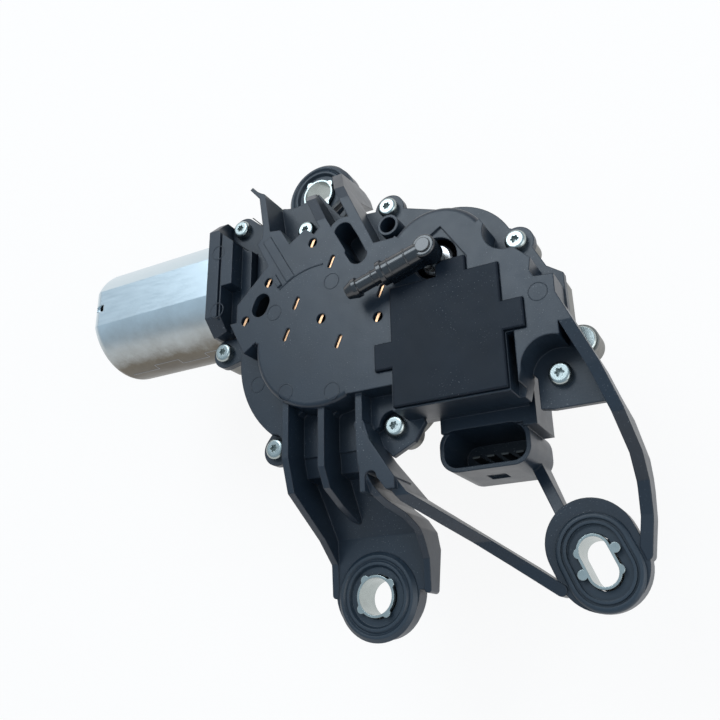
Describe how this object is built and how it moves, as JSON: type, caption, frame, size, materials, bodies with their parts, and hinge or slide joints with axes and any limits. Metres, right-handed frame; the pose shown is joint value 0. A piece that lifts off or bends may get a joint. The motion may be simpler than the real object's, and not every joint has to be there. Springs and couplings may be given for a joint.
{
  "type": "wiper motor",
  "caption": "Rear wiper motor: can motor with worm gearbox in a black carrier with three grommet mounts, hollow output shaft and swivelling washer elbow.",
  "frame": {"origin": "output shaft's axis at the level of the cover's outer face", "axes": "+Z out of the cover along the output shaft, away from the wiper arm; the motor's axis is parallel to X and the motor points to -X"},
  "size_m": [0.2336, 0.2093, 0.104],
  "materials": {
    "black_moulding": "fine grain moulding",
    "glossy_black": "gloss",
    "cast_alloy": "as cast",
    "zinc_plate": "zinc plated",
    "drawn_can": "plated, satin",
    "ground_steel": "ground",
    "bronze": "sintered",
    "copper": "bright",
    "carbon": "matt",
    "core_iron": "stacked sheet",
    "rubber": "matt",
    "wheel_resin": "moulded",
    "board_green": "solder mask",
    "component_black": "moulded",
    "capacitor_can": "drawn"
  },
  "bodies": {
    "frame": {"gear_cover": "black_moulding", "box_lid": "black_moulding", "connector_pins": "zinc_plate", "circuit_board": "board_green", "board_relay": "component_black", "board_capacitor": "capacitor_can", "board_chip": "component_black", "gear_housing": "cast_alloy", "housing_gasket": "rubber", "housing_plug": "zinc_plate", "cover_screws": "zinc_plate", "wheel_axle": "ground_steel", "axle_clip": "zinc_plate", "contact_springs": "copper", "shaft_bush_inner": "bronze", "shaft_bush_outer": "bronze", "shaft_washer": "zinc_plate", "shaft_seal": "rubber", "motor_can": "drawn_can", "brush_holder": "black_moulding", "magnets": "carbon", "brushes": "carbon", "brush_springs": "ground_steel", "rear_bush": "bronze", "front_bush": "bronze", "worm_end_bush": "bronze", "thrust_pad": "wheel_resin", "grommet_left": "rubber", "grommet_top": "rubber", "grommet_right": "rubber", "sleeve_left": "zinc_plate", "sleeve_top": "zinc_plate", "sleeve_right": "zinc_plate"},
    "wheel": {"worm_wheel": "wheel_resin", "switch_disc": "black_moulding", "contact_ring": "copper"},
    "armature": {"armature_shaft": "ground_steel", "armature_core": "core_iron", "armature_windings": "copper", "commutator": "copper"},
    "output": {"output_shaft": "ground_steel", "output_lever": "ground_steel", "link_pin": "ground_steel", "link_clip": "zinc_plate", "shaft_circlip": "zinc_plate", "washer_tube": "wheel_resin"},
    "link": {"crank_link": "ground_steel", "crank_pin": "ground_steel"},
    "elbow": {"washer_elbow": "glossy_black", "elbow_o_ring": "rubber"}
  },
  "joints": [
    {"name": "wheel_spin", "type": "hinge", "parent": "frame", "child": "wheel", "pos_m": [-0.0485, -0.0188, -0.0279], "axis": [0, 0, 1], "continuous": true},
    {"name": "armature_spin", "type": "hinge", "parent": "frame", "child": "armature", "pos_m": [-0.1, 0.0217, -0.0279], "axis": [1, 0, 0], "continuous": true},
    {"name": "wiper_swing", "type": "hinge", "parent": "frame", "child": "output", "pos_m": [0, 0, -0.025], "axis": [0, 0, 1], "range_deg": [0, 94.6]},
    {"name": "link_pivot", "type": "hinge", "parent": "output", "child": "link", "pos_m": [0.00392, 0.01654, -0.021], "axis": [0, 0, 1], "range_deg": [-94.6, 0]},
    {"name": "elbow_swivel", "type": "hinge", "parent": "frame", "child": "elbow", "pos_m": [0, 0, 0], "axis": [0, 0, 1], "range_deg": [-60, 8]}
  ],
  "couplings": [
    {"joint": "armature_spin", "follows": "wheel_spin", "ratio": 71},
    {"joint": "link_pivot", "follows": "wiper_swing", "ratio": -1}
  ]
}
